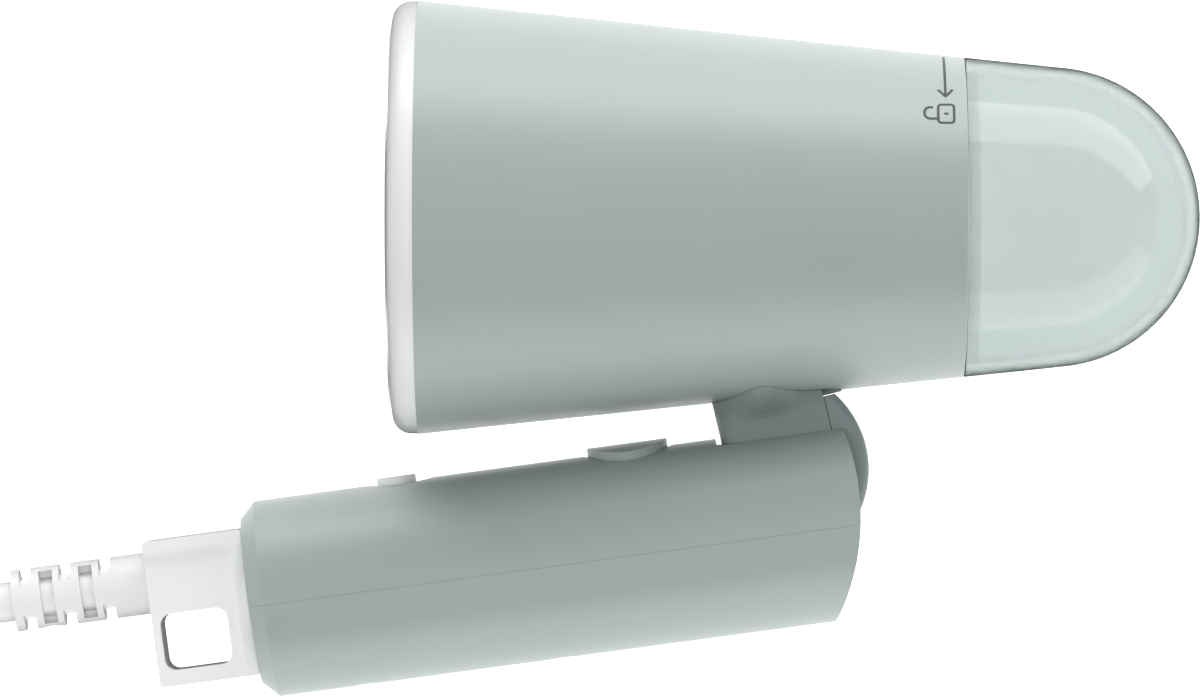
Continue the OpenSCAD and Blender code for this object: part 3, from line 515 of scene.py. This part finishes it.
# ---- Icons printed on the cone: turn arrow and open padlock ----
LINE = 0.46
ARROW_X, ARROW_TIP, ARROW_TOP, BARB = 91.65, 20.55, 27.8, 1.25
LOCK_X, LOCK_Y, LOCK_W, LOCK_H, LOCK_R = 91.7, 17.55, 2.75, 3.2, 0.5
KEYHOLE = (-0.35, 0.4)                  # ends of the keyhole's dash, from the lock's middle
SHACKLE_R, SHACKLE_REACH, SHACKLE_LIFT = 1.0, 2.4, 0.15
PRINT_LOW, PRINT_HIGH = -0.05, 0.03     # the ribbon's two sides, sunk in the shell and raised


def on_cone(x, y):
    """The point of the cone's upper side over (x, y), in mm from the head's axis."""
    r = cone_r(x)
    z = math.sqrt(max(0.0, r * r - y * y))
    return Vector((x, y, z))


def stroke(bm, points, width, closed=False):
    """A thin raised ribbon along points (x, y) on the cone's upper side."""
    if closed:
        points = points + [points[0], points[1]]
    rings = []
    n = len(points)
    for i, (x, y) in enumerate(points):
        a = on_cone(*points[max(i - 1, 0)])
        b = on_cone(*points[min(i + 1, n - 1)])
        here = on_cone(x, y)
        out = Vector((math.sin(CONE), y / cone_r(x) * math.cos(CONE),
                      here.z / cone_r(x) * math.cos(CONE))).normalized()
        side = out.cross((b - a).normalized()) * (width / 2)
        rings.append([bm.verts.new(head(*(here + side * s + out * h)))
                      for s, h in ((-1, PRINT_LOW), (1, PRINT_LOW), (1, PRINT_HIGH),
                                   (-1, PRINT_HIGH))])
    skin(bm, rings)


def fine(points, step=0.35):
    """The same line in steps no longer than step, so that it follows the cone."""
    out = []
    for (x0, y0), (x1, y1) in zip(points, points[1:]):
        n = max(1, math.ceil(math.hypot(x1 - x0, y1 - y0) / step))
        out += [(x0 + (x1 - x0) * i / n, y0 + (y1 - y0) * i / n) for i in range(n)]
    return out + [points[-1]]


bm = bmesh.new()
stroke(bm, fine([(ARROW_X, ARROW_TOP), (ARROW_X, ARROW_TIP)]), LINE)
stroke(bm, fine([(ARROW_X - BARB, ARROW_TIP + BARB), (ARROW_X, ARROW_TIP),
                 (ARROW_X + BARB, ARROW_TIP + BARB)]), LINE)
near, far = LOCK_X - LOCK_W / 2 + LOCK_R, LOCK_X + LOCK_W / 2 - LOCK_R
low, high = LOCK_Y - LOCK_H / 2 + LOCK_R, LOCK_Y + LOCK_H / 2 - LOCK_R
lock = fine(arc(far, high, LOCK_R, 90, 0, 5) + arc(far, low, LOCK_R, 0, -90, 5)
            + arc(near, low, LOCK_R, -90, -180, 5) + arc(near, high, LOCK_R, 180, 90, 5)
            + [(far, high + LOCK_R)])
stroke(bm, lock[:-1], LINE, closed=True)
stroke(bm, fine([(LOCK_X + KEYHOLE[0], LOCK_Y), (LOCK_X + KEYHOLE[1], LOCK_Y)]), LINE)
shackle_x = LOCK_X - LOCK_W / 2 - SHACKLE_REACH + SHACKLE_R
shackle_y = LOCK_Y + SHACKLE_LIFT
stroke(bm, fine(arc(shackle_x, shackle_y, SHACKLE_R, 60, 270, 14)
                + [(LOCK_X - LOCK_W / 2, shackle_y - SHACKLE_R)]), LINE)
piece("head_icons", bm, "sage_dark", "head", smooth=False, material="print_grey")

# ---- Floor and light ----
bm = bmesh.new()
bmesh.ops.create_grid(bm, x_segments=12, y_segments=12, size=2.0)
floor = mesh_object("floor", bm)
floor_mat, nt, b = shader_nodes("floor_white")
co = add(nt, "ShaderNodeTexCoord")
paper = noise(nt, co, 8, 2)
nt.links.new(ramp(nt, paper.outputs["Fac"], 0.3, 0.7, (0.93, 0.93, 0.93),
                  (0.95, 0.95, 0.95)).outputs["Color"], b.inputs["Base Color"])
b.inputs["Roughness"].default_value = 0.9
b.inputs["Specular IOR Level"].default_value = 0.1
b.inputs["Emission Color"].default_value = (1, 1, 1, 1)
b.inputs["Emission Strength"].default_value = 0.75
floor.data.materials.append(floor_mat)
floor.visible_diffuse = False           # the bounce light below stands for the floor's own light
floor.visible_glossy = False


def area(name, at, to, size, power, size_y=None, glossy=True):
    """A rectangular light at a point, turned to another; it isn't seen through clear plastic."""
    d = bpy.data.lights.new(name, "AREA")
    d.energy = power
    d.shape = "RECTANGLE"
    d.size = size
    d.size_y = size_y or size
    o = bpy.data.objects.new(name, d)
    scene.collection.objects.link(o)
    o.location = at
    o.rotation_euler = (Vector(to) - Vector(at)).to_track_quat("-Z", "Y").to_euler()
    o.visible_glossy = glossy
    o.visible_transmission = False
    return o


bounce = area("bounce", (0, 0, 0.001), (0, 0, 1), 2.0, 18)
bounce.visible_camera = False
unlit_below = bpy.data.collections.new("unlit_below")
bounce.light_linking.receiver_collection = unlit_below
UNLIT = ("tank_bowl", "tank_collar", "cord_connector", "strain_relief", "front_ring", "plug_pins")
for obj in [NODES[n] for n in UNLIT] + [cord, plug_shell]:
    unlit_below.objects.link(obj)
for entry in unlit_below.collection_objects:
    entry.light_linking.link_state = "EXCLUDE"
area("key", (0.4, 0.9, 0.30), (0.2, 0, 0.05), 2.8, 19, 0.6)
area("fill", (0.4, -0.9, 0.30), (0.2, 0, 0.05), 2.8, 9, 0.6)
area("left", (-1.1, 0.1, 0.35), (0, 0, 0.04), 0.8, 3.2, glossy=False)
area("top", (0.0, -0.25, 1.8), (0, 0, 0), 1.2, 11, glossy=False)
world = bpy.data.worlds.new("studio")
scene.world = world
world.use_nodes = True
nt = world.node_tree
sky = add(nt, "ShaderNodeTexCoord")
split = add(nt, "ShaderNodeSeparateXYZ")
nt.links.new(sky.outputs["Generated"], split.inputs["Vector"])
lean = add(nt, "ShaderNodeMath", {1: -0.3}, operation="MULTIPLY")
nt.links.new(split.outputs["Y"], lean.inputs[0])
level = add(nt, "ShaderNodeMath", operation="ADD")
nt.links.new(split.outputs["Z"], level.inputs[0])
nt.links.new(lean.outputs["Value"], level.inputs[1])
shade = ramp(nt, level.outputs["Value"], 0.0, 0.35, (0.03, 0.035, 0.035), (0.33, 0.34, 0.345))
nt.links.new(shade.outputs["Color"], nt.nodes["Background"].inputs["Color"])
